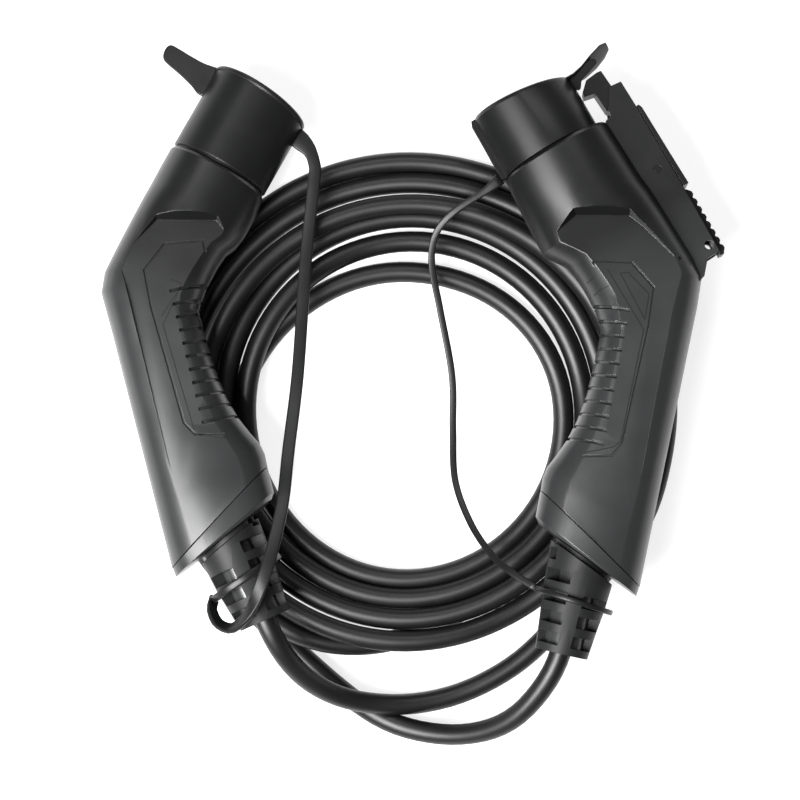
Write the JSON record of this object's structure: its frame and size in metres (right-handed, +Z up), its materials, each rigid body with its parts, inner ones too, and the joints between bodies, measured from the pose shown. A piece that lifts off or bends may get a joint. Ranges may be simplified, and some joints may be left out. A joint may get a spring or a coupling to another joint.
{
  "type": "electric vehicle charging cable",
  "caption": "Coiled charging cable with a pistol connector at each end: one with a thumb latch and sleeve cap, the other with a plug-in disc cap, both tied by rubber straps.",
  "frame": {"origin": "centre of the box round the two connectors and their straps, on the surface the cable lies on", "axes": "+Z up from the surface, +Y towards the connectors' noses, +X towards the connector with the latch"},
  "size_m": [0.3072, 0.351, 0.0768],
  "materials": {
    "housing_plastic": "matte, fine texture",
    "nose_plastic": "satin",
    "cap_rubber": "matte",
    "boot_rubber": "matte",
    "cable_jacket": "satin",
    "contact_metal": "silver plated",
    "insulator_plastic": "matte",
    "seal_rubber": "matte",
    "steel": "bright"
  },
  "bodies": {
    "cable_set": {"cable_coil": "cable_jacket", "cable_to_type1": "cable_jacket", "cable_to_type2": "cable_jacket", "latch_cover": "housing_plastic", "latch_microswitch": "insulator_plastic", "latch_pivot_pin": "steel", "latch_spring": "steel", "type1_cable_clamp": "insulator_plastic", "type1_cap_strap": "cap_rubber", "type1_contact_carrier": "insulator_plastic", "type1_contact_cp": "contact_metal", "type1_contact_cs": "contact_metal", "type1_contact_l1": "contact_metal", "type1_contact_n": "contact_metal", "type1_contact_pe": "contact_metal", "type1_end_collar": "housing_plastic", "type1_housing_lower": "housing_plastic", "type1_housing_screw_1": "steel", "type1_housing_screw_2": "steel", "type1_housing_upper": "housing_plastic", "type1_nose": "nose_plastic", "type1_seal_ring": "seal_rubber", "type1_strain_relief": "boot_rubber", "type2_cable_clamp": "insulator_plastic", "type2_cap_strap": "cap_rubber", "type2_contact_carrier": "insulator_plastic", "type2_contact_cp": "contact_metal", "type2_contact_l1": "contact_metal", "type2_contact_n": "contact_metal", "type2_contact_pe": "contact_metal", "type2_contact_pp": "contact_metal", "type2_end_collar": "housing_plastic", "type2_housing_lower": "housing_plastic", "type2_housing_screw_1": "steel", "type2_housing_screw_2": "steel", "type2_housing_upper": "housing_plastic", "type2_nose": "nose_plastic", "type2_seal_ring": "seal_rubber", "type2_strain_relief": "boot_rubber"},
    "latch": {"latch_lever": "housing_plastic"},
    "type1_cap": {"type1_dust_cap": "cap_rubber"},
    "type2_cap": {"type2_dust_cap": "cap_rubber"}
  },
  "joints": [
    {"name": "latch_hinge", "type": "hinge", "parent": "cable_set", "child": "latch", "pos_m": [0.12051, 0.0872, 0.0376], "axis": [0.0429, -0.0759, -0.9962], "range_deg": [0, 5], "stiffness_Nm_per_rad": 3, "springref_deg": -2.86, "deforming": ["latch_spring"]},
    {"name": "type1_cap_slide", "type": "slide", "parent": "cable_set", "child": "type1_cap", "axis": [-0.4905, 0.867, -0.0872], "range_m": [0, 0.03], "deforming": ["type1_cap_strap"]},
    {"name": "type2_cap_slide", "type": "slide", "parent": "cable_set", "child": "type2_cap", "axis": [0.4818, 0.8692, -0.1115], "range_m": [0, 0.014], "deforming": ["type2_cap_strap"]}
  ]
}
